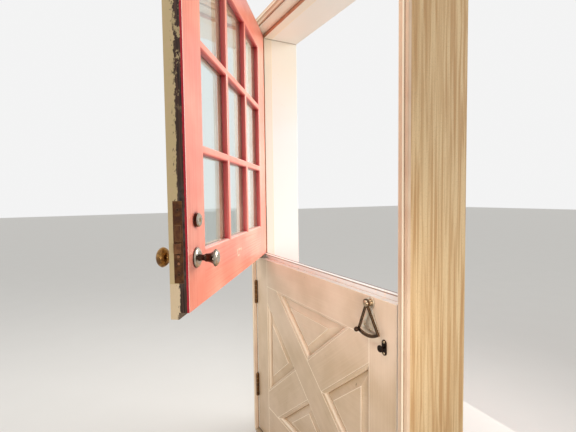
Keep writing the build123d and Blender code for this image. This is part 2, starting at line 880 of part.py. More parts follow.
# Latch bolt, bevelled on the side that meets the strike as the leaf shuts
with BuildPart() as latch_bolt:
    with BuildSketch(Plane.XY.offset(latch_height - latch_rise / 2)):
        nose = half_leaf + latch_throw
        tail = nose - latch_length
        room_side = mid_thickness - latch_thickness / 2
        outer_side = mid_thickness + latch_thickness / 2
        Polygon(
            (tail, room_side),
            (nose, room_side),
            (nose, room_side + latch_nose),
            (half_leaf + latch_shoulder, outer_side),
            (tail, outer_side),
            align=None,
        )
    extrude(amount=latch_rise)

with BuildPart() as dead_bolt:
    edge_box(half_leaf, dead_bolt_length, dead_bolt_thickness, dead_bolt_rise, dead_bolt_height)


def stop_button(front, z):
    """Round button that runs back from its front."""
    with BuildPart() as button:
        with Locations((front, mid_thickness, z)):
            Cylinder(
                button_radius, button_length, rotation=(0, 90, 0),
                align=(Align.CENTER, Align.CENTER, Align.MAX),
            )
        chamfer(button.edges().group_by(Axis.X)[-1], length=button_travel / 2)
    return button


upper_button = stop_button(half_leaf + button_travel, button_heights[0])
lower_button = stop_button(half_leaf, button_heights[1])

# Turned fittings share planes at the faces of the leaf: x is the radius, y runs outward
outer_knob_plane = Plane(
    origin=(knob_x, leaf_thickness, knob_height), x_dir=(1, 0, 0), z_dir=(0, 0, 1))
inner_knob_plane = Plane(
    origin=(knob_x, 0, knob_height), x_dir=(-1, 0, 0), z_dir=(0, 0, 1))
outer_cylinder_plane = Plane(
    origin=(knob_x, leaf_thickness, cylinder_height), x_dir=(1, 0, 0), z_dir=(0, 0, 1))
inner_cylinder_plane = Plane(
    origin=(knob_x, 0, cylinder_height), x_dir=(-1, 0, 0), z_dir=(0, 0, 1))


def turned_axis(plane):
    """Axis of a fitting that is turned about its plane's upright direction."""
    return Axis(plane.origin, plane.y_dir)


def turned_knob(plane, radius, foot, widest, reach, belly):
    """Knob on a waisted neck, domed in front, with a square socket for the spindle.

    Halfway between its foot and its widest place it has the given share of its radius.
    """
    front = radius / 3
    neck_end = rose_thickness + neck_length
    with BuildPart() as knob:
        with BuildSketch(plane):
            with BuildLine():
                Polyline((0, bolt_clearance), (neck_radius, bolt_clearance), (neck_radius, neck_end))
                ThreePointArc(
                    (neck_radius, neck_end),
                    (neck_radius - neck_waist, (neck_end + foot) / 2),
                    (neck_radius + neck_flare, foot),
                )
                ThreePointArc(
                    (neck_radius + neck_flare, foot),
                    (radius * belly, (foot + widest) / 2),
                    (radius, widest),
                )
                ThreePointArc(
                    (radius, widest),
                    ((radius + front) * 0.6, (widest + 3 * reach) / 4),
                    (front, reach),
                )
                Polyline((front, reach), (0, reach), (0, bolt_clearance))
            make_face()
        revolve(axis=turned_axis(plane))
        with BuildSketch(Plane(plane.origin, x_dir=plane.x_dir, z_dir=plane.y_dir)):
            Rectangle(spindle_width, spindle_width)
        extrude(amount=socket_depth, mode=Mode.SUBTRACT)
    return knob


def turned_rose(plane, bore, radius, thickness):
    """Domed rose round a bore, flat on the leaf."""
    rim = thickness * 0.35
    crown = radius * 0.6
    with BuildPart() as rose:
        with BuildSketch(plane):
            with BuildLine():
                Polyline((crown, thickness), (bore, thickness), (bore, 0), (radius, 0), (radius, rim))
                ThreePointArc(
                    (radius, rim),
                    (radius * 0.85, thickness * 0.8),
                    (crown, thickness),
                )
            make_face()
        revolve(axis=turned_axis(plane))
    return rose


outer_knob = turned_knob(
    outer_knob_plane, outer_knob_radius, outer_knob_foot, outer_knob_widest,
    outer_knob_reach, belly=0.56)
inner_knob = turned_knob(
    inner_knob_plane, inner_knob_radius, inner_knob_foot, inner_knob_widest,
    inner_knob_reach, belly=0.86)
outer_rose = turned_rose(
    outer_knob_plane, neck_radius + shaft_clearance, rose_radius, rose_thickness)
inner_rose = turned_rose(
    inner_knob_plane, neck_radius + shaft_clearance, rose_radius, rose_thickness)
thumb_rose = turned_rose(
    inner_cylinder_plane, thumb_stem_radius + shaft_clearance, thumb_rose_radius,
    thumb_rose_thickness)

with BuildPart() as knob_spindle:
    with BuildSketch(leaf_plane(leaf_thickness + socket_depth)):
        with Locations((knob_x, knob_height)):
            Rectangle(spindle_width, spindle_width)
    extrude(amount=leaf_thickness + 2 * socket_depth)

# Lock cylinder with its keyed plug, and the thumb turn on the room side
case_outer_side = mid_thickness + case_thickness / 2
body_foot = case_outer_side - leaf_thickness
with BuildPart() as lock_cylinder:
    with BuildSketch(outer_cylinder_plane):
        bore = plug_radius + shaft_clearance
        Polygon(
            (bore, body_foot),
            (cylinder_body_radius, body_foot),
            (cylinder_body_radius, 0),
            (cylinder_radius, 0),
            (cylinder_radius, cylinder_proud - cylinder_chamfer),
            (cylinder_radius - cylinder_chamfer, cylinder_proud),
            (bore, cylinder_proud),
            align=None,
        )
    revolve(axis=turned_axis(outer_cylinder_plane))

with BuildPart() as cylinder_plug:
    with BuildSketch(leaf_plane(leaf_thickness + cylinder_proud)):
        with Locations((knob_x, cylinder_height)):
            Circle(plug_radius)
    extrude(amount=cylinder_proud - body_foot - bolt_clearance)
    with BuildSketch(leaf_plane(leaf_thickness + cylinder_proud)):
        with Locations((knob_x, cylinder_height)):
            Rectangle(keyway_width, keyway_length)
    extrude(amount=keyway_depth, mode=Mode.SUBTRACT)

case_room_side = mid_thickness - case_thickness / 2
with BuildPart() as thumb_turn:
    with BuildSketch(leaf_plane(case_room_side - bolt_clearance)):
        with Locations((knob_x, cylinder_height)):
            Circle(thumb_stem_radius)
    extrude(amount=case_room_side + thumb_rose_thickness)
    with BuildSketch(leaf_plane(-thumb_rose_thickness - bolt_clearance)):
        with Locations((knob_x, cylinder_height)):
            SlotOverall(thumb_grip_length, thumb_grip_width, rotation=90)
            Circle(thumb_stem_radius + thumb_collar)
    extrude(amount=thumb_grip_reach)
    fillet(thumb_turn.edges().group_by(Axis.Y)[0], radius=thumb_grip_edge)

# Quadrant plate, a fan that narrows to the pivot, screwed to the lower leaf
quadrant_x = half_leaf - quadrant_from_edge
quadrant_z = ledge_height - quadrant_below_ledge


def fan(radius, angle):
    """Pie slice that hangs straight down from its point."""
    half_width = radius * sin(radians(angle / 2)) / cos(radians(angle / 2))
    with BuildSketch() as result:
        Circle(radius)
        Polygon((0, 0), (-half_width, -radius), (half_width, -radius), align=None,
                mode=Mode.INTERSECT)
    return result.sketch


with BuildPart() as quadrant_plate:
    with BuildSketch(leaf_plane()):
        with Locations((quadrant_x, quadrant_z)):
            add(fan(quadrant_plate_radius, quadrant_plate_angle))
            Circle(quadrant_head_radius)
    extrude(amount=quadrant_plate_thickness)
    chamfer(quadrant_plate.faces().sort_by(Axis.Y)[0].edges(), length=plate_chamfer)

sector_back = quadrant_stand_off
sector_front = quadrant_stand_off + sector_thickness
pivot_plane = Plane(
    origin=(quadrant_x, 0, quadrant_z), x_dir=(-1, 0, 0), z_dir=(0, 0, 1))
with BuildPart() as quadrant_pivot:
    with BuildSketch(pivot_plane):
        with BuildLine():
            seat = sector_back - bolt_clearance
            head = sector_front + bolt_clearance
            crown = head + pivot_head_height
            crown_radius = pivot_head_radius / 3
            Polyline(
                (crown_radius, crown),
                (0, crown),
                (0, quadrant_plate_thickness),
                (pivot_head_radius, quadrant_plate_thickness),
                (pivot_head_radius, seat),
                (pivot_radius, seat),
                (pivot_radius, head),
                (pivot_head_radius, head),
            )
            ThreePointArc(
                (pivot_head_radius, head),
                (pivot_head_radius * 0.75, head + pivot_head_height * 0.75),
                (crown_radius, crown),
            )
        make_face()
    revolve(axis=turned_axis(pivot_plane))

# Quadrant sector: hub, two legs and the arc, cut as one open plate
# It hangs a little towards the latch side, where its worn pivot has let it settle
leg_angle = sector_angle / 2 - degrees(asin(sector_leg / 2 / sector_radius))
with BuildPart() as quadrant_sector:
    with BuildSketch(leaf_plane(-sector_back)):
        with Locations(Location((quadrant_x, quadrant_z, 0), (0, 0, sector_hang_angle))):
            add(fan(sector_radius, sector_angle))
            Circle(sector_radius - sector_band, mode=Mode.SUBTRACT)
            for turn in (-leg_angle, leg_angle):
                Rectangle(
                    sector_leg, sector_radius - sector_band / 2, rotation=turn,
                    align=(Align.CENTER, Align.MAX),
                )
            Circle(sector_hub_radius)
            Circle(pivot_radius + shaft_clearance, mode=Mode.SUBTRACT)
    extrude(amount=sector_thickness)

ball_radius_from_pivot = sector_radius - sector_band / 2
ball_angle = radians(leg_angle - sector_hang_angle)
ball_x = quadrant_x - ball_radius_from_pivot * sin(ball_angle)
ball_z = quadrant_z - ball_radius_from_pivot * cos(ball_angle)
with BuildPart() as quadrant_ball:
    with Locations((ball_x, quadrant_ball_sunk - sector_front - quadrant_ball_radius, ball_z)):
        Sphere(quadrant_ball_radius)
    with Locations((ball_x, -sector_front, ball_z)):
        Box(
            2 * quadrant_ball_radius, quadrant_ball_radius, 2 * quadrant_ball_radius,
            align=(Align.CENTER, Align.MIN, Align.CENTER), mode=Mode.SUBTRACT,
        )

# Keeper on the upper leaf: an open channel that the arc turns into
channel_back = sector_back - keeper_clearance
channel_front = sector_front + keeper_clearance
keeper_foot = quadrant_z + sector_radius - sector_band - keeper_arc_clearance
channel_head = quadrant_z + sector_radius + keeper_arc_clearance
with BuildPart() as quadrant_keeper:
    with BuildSketch(Plane.YZ.offset(quadrant_x)):
        Polygon(
            (0, keeper_foot),
            (-channel_back, keeper_foot),
            (-channel_back, channel_head),
            (-channel_front, channel_head),
            (-channel_front, keeper_foot),
            (-channel_front - keeper_wall, keeper_foot),
            (-channel_front - keeper_wall, channel_head + keeper_wall),
            (0, channel_head + keeper_wall),
            align=None,
        )
    extrude(amount=keeper_length / 2, both=True)
    nose_edges = quadrant_keeper.edges().filter_by(Axis.X).group_by(Axis.Y)[0]
    fillet(nose_edges, radius=keeper_wall / 3)

# Small bolt of the lower leaf, its turn and the plate round the turn
with BuildPart() as turn_plate:
    with BuildSketch(leaf_plane()):
        with Locations((turn_x, small_bolt_height)):
            SlotOverall(turn_plate_length, turn_plate_width, rotation=90)
            Circle(turn_stem_radius + shaft_clearance, mode=Mode.SUBTRACT)
    extrude(amount=turn_plate_thickness)
    chamfer(turn_plate.faces().sort_by(Axis.Y)[0].outer_wire().edges(), length=plate_chamfer)

stem_foot = mid_thickness - small_bolt_radius - bolt_clearance
disc_back = turn_reach - turn_disc_thickness
with BuildPart() as bolt_turn:
    with BuildSketch(leaf_plane(stem_foot)):
        with Locations((turn_x, small_bolt_height)):
            Circle(turn_stem_radius)
    extrude(amount=stem_foot + disc_back)
    with BuildSketch(leaf_plane(-disc_back)):
        with Locations((turn_x, small_bolt_height)):
            Circle(turn_disc_radius)
    extrude(amount=turn_disc_thickness)
    rim = bolt_turn.edges().filter_by(GeomType.CIRCLE).sort_by(SortBy.RADIUS)[-2:]
    fillet(rim, radius=turn_disc_edge)

with BuildPart() as small_bolt:
    with Locations((half_leaf, mid_thickness, small_bolt_height)):
        Cylinder(
            small_bolt_radius, small_bolt_length, rotation=(0, 90, 0),
            align=(Align.CENTER, Align.CENTER, Align.MAX),
        )
    chamfer(small_bolt.edges().group_by(Axis.X)[-1], length=plate_chamfer)

# Frame and everything that stays with it
write(hinge_jamb, "hinge_jamb")
write(latch_jamb, "latch_jamb")
write(head_jamb, "head_jamb")
write(sill, "sill")
write(hinge_casing, "hinge_casing")
write(latch_casing, "latch_casing")
write(head_casing, "head_casing")
write(lock_strike, "lock_strike")
write(bolt_strike, "bolt_strike")
write(frame_hinge_leaves, "frame_hinge_leaves")
write(hinge_pins, "hinge_pins")

# Lower leaf, shut
write(lower_hinge_stile, "lower_hinge_stile")
write(lower_latch_stile, "lower_latch_stile")
write(lower_top_rail, "lower_top_rail")
write(lower_bottom_rail, "lower_bottom_rail")
write(falling_brace, "falling_brace")
write(rising_braces, "rising_braces")
write(head_panel, "head_panel")
write(foot_panel, "foot_panel")
write(hinge_panel, "hinge_panel")
write(latch_panel, "latch_panel")
write(lower_hinge_leaves, "lower_hinge_leaves")
write(quadrant_plate, "quadrant_plate")
write(quadrant_pivot, "quadrant_pivot")
write(quadrant_sector, "quadrant_sector")
write(quadrant_ball, "quadrant_ball")
write(turn_plate, "turn_plate")
write(bolt_turn, "bolt_turn")
write(small_bolt, "small_bolt")

# Upper leaf, drawn shut and turned open on the hinge pins
write(upper_hinge_stile, "upper_hinge_stile", opened)
write(upper_latch_stile, "upper_latch_stile", opened)
write(upper_top_rail, "upper_top_rail", opened)
write(upper_bottom_rail, "upper_bottom_rail", opened)
write(horizontal_muntins, "horizontal_muntins", opened)
write(vertical_muntins, "vertical_muntins", opened)
write(glass_panes, "glass_panes", opened)
write(glazing_beads, "glazing_beads", opened)
write(upper_hinge_leaves, "upper_hinge_leaves", opened)
write(lock_case, "lock_case", opened)
write(faceplate, "faceplate", opened)
write(faceplate_screws, "faceplate_screws", opened)
write(latch_bolt, "latch_bolt", opened)
write(dead_bolt, "dead_bolt", opened)
write(upper_button, "upper_button", opened)
write(lower_button, "lower_button", opened)
write(knob_spindle, "knob_spindle", opened)
write(outer_knob, "outer_knob", opened)
write(inner_knob, "inner_knob", opened)
write(outer_rose, "outer_rose", opened)
write(inner_rose, "inner_rose", opened)
write(lock_cylinder, "lock_cylinder", opened)
write(cylinder_plug, "cylinder_plug", opened)
write(thumb_rose, "thumb_rose", opened)
write(thumb_turn, "thumb_turn", opened)
write(quadrant_keeper, "quadrant_keeper", opened)
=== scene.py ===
"""Dutch stable door: a coral glazed upper leaf open over a cream cross-braced lower leaf.

Metres. X runs from the hinge side to the latch side, Y from the room to the outside.
"""
import json
import math

import bpy
from mathutils import Matrix, Vector


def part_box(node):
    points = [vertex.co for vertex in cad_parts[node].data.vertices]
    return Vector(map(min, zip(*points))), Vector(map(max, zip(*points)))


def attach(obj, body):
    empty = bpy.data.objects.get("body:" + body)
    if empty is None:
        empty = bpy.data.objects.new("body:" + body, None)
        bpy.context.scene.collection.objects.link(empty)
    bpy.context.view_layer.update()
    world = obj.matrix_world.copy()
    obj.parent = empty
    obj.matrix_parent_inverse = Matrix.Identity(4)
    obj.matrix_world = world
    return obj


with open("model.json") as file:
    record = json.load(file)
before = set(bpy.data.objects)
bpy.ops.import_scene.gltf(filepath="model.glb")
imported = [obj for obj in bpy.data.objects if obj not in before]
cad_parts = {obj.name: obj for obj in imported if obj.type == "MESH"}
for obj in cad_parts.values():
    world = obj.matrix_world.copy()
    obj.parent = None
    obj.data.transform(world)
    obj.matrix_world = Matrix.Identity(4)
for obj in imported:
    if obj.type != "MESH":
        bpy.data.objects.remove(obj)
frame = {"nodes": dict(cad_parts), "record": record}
nodes = frame["nodes"]
joints = {joint["name"]: joint for joint in frame["record"]["behaviour"]["joints"]}
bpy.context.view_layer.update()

# Camera
# A wide lens in the room, close to the latch side, looking across the opening
# at the hinge side. It stands at chest height and is tipped slightly down.
camera_place = Vector((1.3076, -0.7614, 1.2561))
camera_left = math.radians(62.47)
camera_down = math.radians(3.08)
camera_roll = math.radians(-0.72)
camera_data = bpy.data.cameras.new("room_camera")
camera_data.sensor_width = 36
camera_data.lens = 23.73
camera = bpy.data.objects.new("room_camera", camera_data)
ahead = Vector((-math.sin(camera_left), math.cos(camera_left), 0))
aside = Vector((math.cos(camera_left), math.sin(camera_left), 0))
upright = Vector((0, 0, 1))
facing = ahead * math.cos(camera_down) - upright * math.sin(camera_down)
crown = upright * math.cos(camera_down) + ahead * math.sin(camera_down)
right = aside * math.cos(camera_roll) + crown * math.sin(camera_roll)
top = crown * math.cos(camera_roll) - aside * math.sin(camera_roll)
camera.matrix_world = Matrix((
    (right.x, top.x, -facing.x, camera_place.x),
    (right.y, top.y, -facing.y, camera_place.y),
    (right.z, top.z, -facing.z, camera_place.z),
    (0, 0, 0, 1),
))
bpy.context.collection.objects.link(camera)
bpy.context.scene.camera = camera

# Jambs and head
# Deep softwood frame with the rebate for both leaves milled out of the room side.
# Brushed with a warm white gloss, painted yellower towards the top as the warm light
# there. The face of the stop in the rebate is painted brown as shade, with the coral
# leaf's reflection in it, and the backs, hidden once it is built in, are sawn pine that
# never had any paint.
hairline = 0.001


class Value:
    """A socket of a material, with arithmetic that adds Math nodes."""

    def __init__(self, finish, socket):
        self.finish = finish
        self.socket = socket

    def maths(self, operation, *others):
        inputs = dict(enumerate((self, *others)))
        return self.finish.node("Math", {"operation": operation}, inputs)

    def __add__(self, other):
        return self.maths("ADD", other)

    def __sub__(self, other):
        return self.maths("SUBTRACT", other)

    def __mul__(self, other):
        return self.maths("MULTIPLY", other)

    def __rsub__(self, other):
        return self.finish.node(
            "Math", {"operation": "SUBTRACT"}, {0: other, 1: self})

    __radd__ = __add__
    __rmul__ = __mul__

    def over(self, edge, width=hairline):
        """0 below the edge, 1 above it, with a soft step of the given width."""
        return self.finish.node("MapRange", {"interpolation_type": "SMOOTHSTEP"}, {
            "Value": self, "From Min": edge - width / 2, "From Max": edge + width / 2})

    def under(self, edge, width=hairline):
        return 1 - self.over(edge, width)

    def squarely(self):
        """1 where a surface faces nearly straight along the axis that this measures."""
        return self.over(0.7, 0.2)


class Finish:
    """A material in the making: its tree, its shader and one way to add a node."""

    def __init__(self, name, roughness=0.5, metallic=0.0, **settings):
        self.material = bpy.data.materials.new(name)
        self.material.use_nodes = True
        self.tree = self.material.node_tree
        self.shader = self.tree.nodes["Principled BSDF"]
        self.shader.inputs["Roughness"].default_value = roughness
        self.shader.inputs["Metallic"].default_value = metallic
        for label, value in settings.items():
            self.shader.inputs[label.replace("_", " ").title()].default_value = value

    def feed(self, socket, value):
        if isinstance(value, Value):
            self.tree.links.new(value.socket, socket)
        else:
            socket.default_value = value

    def node(self, kind, settings=None, inputs=None, output=0):
        made = self.tree.nodes.new("ShaderNode" + kind)
        for key, value in (settings or {}).items():
            setattr(made, key, value)
        for key, value in (inputs or {}).items():
            self.feed(made.inputs[key], value)
        return Value(self, made.outputs[output])

    def mix(self, factor, first, second, blend="MIX"):
        """Colour mix: first where the factor is 0, second where it is 1."""
        return self.node(
            "Mix", {"data_type": "RGBA", "blend_type": blend, "clamp_factor": True},
            {0: factor, 6: first, 7: second}, output=2)

    def place(self, turn=0.0, centre=(0, 0, 0)):
        """Object coordinates, turned about Z round a centre."""
        plain = self.node("TexCoord", output="Object")
        return self.turned(plain, turn, centre) if turn else plain

    def facing(self, turn=0.0):
        """The way the surface faces, in the object's own space, turned about Z."""
        plain = self.node("TexCoord", output="Normal")
        return self.turned(plain, turn) if turn else plain

    def turned(self, vector, turn, centre=(0, 0, 0), axis="Z_AXIS"):
        return self.node("VectorRotate", {"rotation_type": axis}, {
            "Vector": vector, "Center": centre, "Angle": turn})

    def parts(self, vector):
        """The x, y and z of a vector."""
        split = self.node("SeparateXYZ", inputs={0: vector}).socket.node
        return [Value(self, output) for output in split.outputs]

    def stretched(self, vector, scale):
        return self.node("VectorMath", {"operation": "MULTIPLY"}, {0: vector, 1: scale})

    def noise(self, vector, scale=1.0, detail=3.0, roughness=0.5, distortion=0.0):
        return self.node("TexNoise", {"noise_dimensions": "3D"}, {
            "Vector": vector, "Scale": scale, "Detail": detail,
            "Roughness": roughness, "Distortion": distortion})

    def openness(self, reach, inside=False):
        """1 on an open surface, less in a hollow, or near an arris when looked at inside."""
        return self.node("AmbientOcclusion", {"samples": 6, "inside": inside},
                         {"Distance": reach}, output=1)

    def bump(self, height, distance, strength=1.0):
        return self.node("Bump", inputs={
            "Height": height, "Distance": distance, "Strength": strength})

    def wear(self, **sockets):
        """Feeds the shader's own sockets, such as base_color or roughness."""
        for label, value in sockets.items():
            self.feed(self.shader.inputs[label.replace("_", " ").title()], value)
        return self.material


def tone(red, green, blue):
    """A colour given in the eight-bit steps of a paint card, for the shader."""
    linear = [
        c / 255 / 12.92 if c / 255 <= 0.04045 else ((c / 255 + 0.055) / 1.055) ** 2.4
        for c in (red, green, blue)
    ]
    return (*linear, 1.0)


def dress(names, material):
    """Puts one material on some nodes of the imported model."""
    for name in names:
        mesh = nodes[name].data
        mesh.materials.clear()
        mesh.materials.append(material)


def brushed_along(finish, vector, along, across=180.0, length=3.0):
    """Ridges that a brush leaves in gloss paint, drawn out along one axis."""
    scale = [across] * 3
    scale[along] = length
    return finish.noise(finish.stretched(vector, scale), detail=2.0, roughness=0.4)


frame_white = tone(244, 244, 240)
frame_yellowed_warm_lit = tone(240, 230, 202)
frame_grime = tone(150, 134, 112)
stop_shade_brown = tone(196, 128, 88)
knock_grey = tone(176, 160, 132)
old_coat_cream = tone(236, 216, 176)
old_coat_ridge = tone(252, 236, 196)
corner_grime_and_shade = tone(112, 84, 62)
stop_plane = 0.0515
stop_end = 0.1
old_coat_end = 0.092
skin = 0.0005
frame_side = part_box("latch_jamb")[1][0] - skin
head_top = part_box("head_jamb")[1][2] - skin
pine_pale = tone(222, 192, 146)
pine_ring = tone(190, 148, 98)
pine_grey = tone(150, 128, 100)
grime_height = 0.12
warm_light_height = 1.75


def frame_paint(name, along, warm_light):
    finish = Finish(name)
    where = finish.place()
    x, y, z = finish.parts(where)
    across, outward, up = finish.parts(finish.facing())
    ridges = brushed_along(finish, where, along)
    clouds = finish.noise(where, scale=3.5, detail=4.0)
    specks = finish.noise(where, scale=90.0, detail=4.0, roughness=0.7)
    # Yellowed at random, and painted warmer towards the top as the warm light there.
    yellowing_and_warm_light = (clouds - 0.45) * 0.5 + z.over(warm_light_height, 0.5) * warm_light
    colour = finish.mix(yellowing_and_warm_light, frame_white, frame_yellowed_warm_lit)
    low = z.under(grime_height, 0.24) * (clouds * 0.7 + specks * 0.5)
    colour = finish.mix(low * 0.6, colour, frame_grime)
    knocks = specks.over(0.72, 0.02) * clouds.over(0.5, 0.1)
    colour = finish.mix(knocks, colour, knock_grey)
    old_coat = y.under(old_coat_end) * 0.35
    colour = finish.mix(old_coat, colour, old_coat_cream)
    ridge = y.over(old_coat_end - 0.0015) * y.under(old_coat_end + 0.0015)
    colour = finish.mix(ridge * 0.6, colour, old_coat_ridge)
    # Painted shade: the stop's face towards the room is brown, with the coral leaf's reflection
    # in it.
    stop = outward.under(-0.7, 0.2) * y.over(stop_plane - 0.002) * y.under(stop_end, 0.01)
    streaks = finish.noise(finish.stretched(where, (22, 60, 60)), detail=3.0)
    colour = finish.mix(stop * (streaks * 0.5 + 0.62), colour, stop_shade_brown)
    # Brown in the corners of the frame, partly grime and partly painted shade.
    corner = finish.openness(0.006).under(0.72, 0.3)
    colour = finish.mix(corner * 0.75, colour, corner_grime_and_shade)
    sides = across.maths("ABSOLUTE").squarely() * x.maths("ABSOLUTE").over(frame_side, 0.0004)
    back = sides.maths("MAXIMUM", up.squarely() * z.over(head_top, 0.0004))
    fibre = [90.0] * 3
    fibre[along] = 2.5
    rings = finish.noise(finish.stretched(where, fibre), detail=5.0, distortion=0.8)
    sawn = finish.noise(finish.stretched(where, (8, 8, 8)), scale=40.0, detail=1.0)
    pine = finish.mix(rings.over(0.52, 0.3), pine_pale, pine_ring)
    colour = finish.mix(back, colour, finish.mix(sawn.over(0.62, 0.2) * 0.25, pine, pine_grey))
    painted = 1 - back
    height = painted * (ridges * 0.5 + specks * 0.2 + ridge - knocks) + back * (rings + sawn)
    return finish.wear(
        base_color=colour,
        roughness=ridges * 0.2 + 0.32 + back * 0.4,
        normal=finish.bump(height, 0.0006, 0.5),
    )


dress(["hinge_jamb", "latch_jamb"], frame_paint("jamb_paint", 2, 0.5))
dress(["head_jamb"], frame_paint("head_paint", 0, 0.25))

# Sill
# Hardwood threshold, planed to a fall outside and fixed between the feet of the jambs.
# Oiled once, it is worn pale where feet cross it, and its grain stands open.
sill_oak = tone(142, 112, 80)
sill_pale = tone(178, 156, 124)
sill_dark = tone(84, 62, 44)


def sill_wood():
    finish = Finish("sill_wood")
    where = finish.place()
    grain = finish.noise(finish.stretched(where, (4, 90, 90)), detail=5.0, distortion=0.6)
    rays = finish.noise(finish.stretched(where, (14, 420, 420)), detail=2.0)
    trodden = finish.noise(where, scale=6.0, detail=3.0)
    colour = finish.mix(grain.over(0.5, 0.5), sill_oak, sill_pale)
    colour = finish.mix(rays.over(0.6, 0.1) * 0.7, colour, sill_dark)
    colour = finish.mix(trodden.over(0.52, 0.3) * 0.5, colour, sill_pale)
    # Painted shade: darker in the hollows, against the feet of the jambs.
    colour = finish.mix(finish.openness(0.02).under(0.7, 0.4) * 0.8, colour, sill_dark)
    return finish.wear(
        base_color=colour,
        roughness=grain * 0.25 + 0.42,
        normal=finish.bump(rays * 0.6 + grain * 0.4, 0.0007, 0.6),
    )


dress(["sill"], sill_wood())

# Casing
# Thin moulded trim, mitred at the head and nailed to the edge of the jamb. Its cream
# paint has gone tan. Its raised front is painted lighter as a highlight, and brown is
# painted along the bead and against the jamb, partly dirt and partly shade.
casing_cream = tone(226, 198, 166)
casing_tan = tone(196, 156, 126)
casing_dirt_and_shade = tone(116, 78, 56)
bead_highlight = tone(250, 236, 208)
bead_plane = -0.0125


def casing_paint(name, along):
    finish = Finish(name, coat_weight=0.1)
    where = finish.place()
    y = finish.parts(where)[1]
    ridges = brushed_along(finish, where, along)
    clouds = finish.noise(where, scale=7.0, detail=4.0)
    specks = finish.noise(where, scale=140.0, detail=3.0)
    colour = finish.mix(clouds.over(0.5, 0.5) * 0.7, casing_cream, casing_tan)
    # Painted highlight: the raised front of the casing is lighter.
    colour = finish.mix(y.under(bead_plane) * 0.9, colour, bead_highlight)
    # Brown in the hollows, partly dirt and partly painted shade.
    dirt = finish.openness(0.006).under(0.72, 0.35) * (specks * 0.5 + 0.5)
    colour = finish.mix(dirt, colour, casing_dirt_and_shade)
    return finish.wear(
        base_color=colour,
        roughness=ridges * 0.2 + 0.4,
        normal=finish.bump(ridges * 0.6 + specks * 0.3, 0.0005, 0.5),
    )


dress(["hinge_casing", "latch_casing"], casing_paint("side_casing_paint", 2))
dress(["head_casing"], casing_paint("head_casing_paint", 0))

# Lower leaf
# Stiles, rails and a halved cross of braces round four raised panels, stuck with a
# quarter round. Old cream gloss in the room, coral outside, dirt and painted shade in
# every hollow. The room side is painted darker towards the foot as shade, and lighter
# as painted highlights on its arrises and on faces that turn up or to the latch side.
lower_cream = tone(238, 212, 184)
lower_shade = tone(202, 174, 138)
lower_light = tone(255, 238, 214)
lower_dirt_and_shade = tone(150, 112, 78)
coral = tone(236, 130, 108)
coral_deep = tone(196, 58, 56)
coral_faded = tone(244, 160, 136)
_, leaf_back, tongue_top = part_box("lower_top_rail")[1]
chip_brown = tone(150, 120, 88)
line_brown = tone(140, 96, 66)
rim_red = tone(84, 26, 24)
ledge = 0.942
tongue_face = 0.024
tongue_back = 0.03
coats_meet = 0.0305
foot_height = 0.3
shade_falloff_height = 0.7


def coral_coat(finish, ridges, clouds):
    """Coral gloss, faded in clouds and darker where the brush left it thick."""
    colour = finish.mix(clouds.over(0.5, 0.4), coral, coral_faded)
    return finish.mix(ridges.over(0.58, 0.3) * 0.22, colour, coral_deep)


def lower_paint(name, along=0, slope=0.0):
    finish = Finish(name, coat_weight=0.25, coat_roughness=0.3)
    where = finish.place()
    y, z = finish.parts(where)[1:]
    across, _, up = finish.parts(finish.facing())
    rolled = finish.turned(where, slope, axis="Y_AXIS") if slope else where
    ridges = brushed_along(finish, rolled, along)
    clouds = finish.noise(where, scale=4.0, detail=4.0)
    dirt = finish.noise(where, scale=45.0, detail=5.0, roughness=0.65)
    specks = finish.noise(where, scale=210.0, detail=2.0)
    # Tanned at random, and painted darker towards the foot as shade.
    tanned_and_shaded = clouds.over(0.52, 0.35) * 0.6 + z.under(shade_falloff_height, 0.5) * 0.6
    colour = finish.mix(tanned_and_shaded, lower_cream, lower_shade)
    colour = finish.mix(ridges.over(0.55, 0.4) * 0.1, colour, lower_light)
    foot = z.under(foot_height, 0.7) * (clouds * 0.5 + dirt * 0.3 + 0.3)
    colour = finish.mix(foot * 0.5, colour, lower_dirt_and_shade)
    # Painted highlight: faces that turn up or to the latch side are lighter.
    lit = up.over(0.5, 0.3).maths("MAXIMUM", across.over(0.5, 0.3) * 0.7)
    # Dirt and painted shade in the hollows, less of it where the painted highlight falls.
    hollow = finish.openness(0.006).under(0.6, 0.4) * (dirt * 0.9 + 0.4)
    colour = finish.mix(hollow * (0.75 - lit * 0.5), colour, lower_dirt_and_shade)
    colour = finish.mix(lit * 0.75, colour, lower_light)
    # Painted highlight along the arrises.
    arris = finish.openness(0.0035, inside=True).under(0.8, 0.3)
    colour = finish.mix(arris * 0.9, colour, lower_light)
    chips = dirt.over(0.70, 0.02) * clouds.over(0.5, 0.1)
    colour = finish.mix(chips, colour, chip_brown)
    level = up.squarely() * z.over(ledge - 0.004, 0.004)
    meeting = level.maths("MAXIMUM", z.over(ledge + 0.001) * y.under(tongue_back))
    colour = finish.mix(meeting * 0.92, colour, finish.mix(
        dirt.over(0.6, 0.2), frame_white, lower_light))
    line = z.over(tongue_top - 0.003) * y.under(tongue_face + 0.003)
    colour = finish.mix(line * 0.85, colour, line_brown)
    rim = level * y.over(leaf_back - 0.007)
    colour = finish.mix(rim * 0.9, colour, rim_red)
    outside = y.over(coats_meet) * (1 - level)
    colour = finish.mix(outside, colour, coral_coat(finish, ridges, clouds))
    height = ridges * 0.5 + specks * 0.15 + dirt * 0.15 - chips * 0.8
    return finish.wear(
        base_color=colour,
        roughness=ridges * 0.18 + dirt * 0.12 + 0.28,
        normal=finish.bump(height, 0.0008, 0.5),
    )


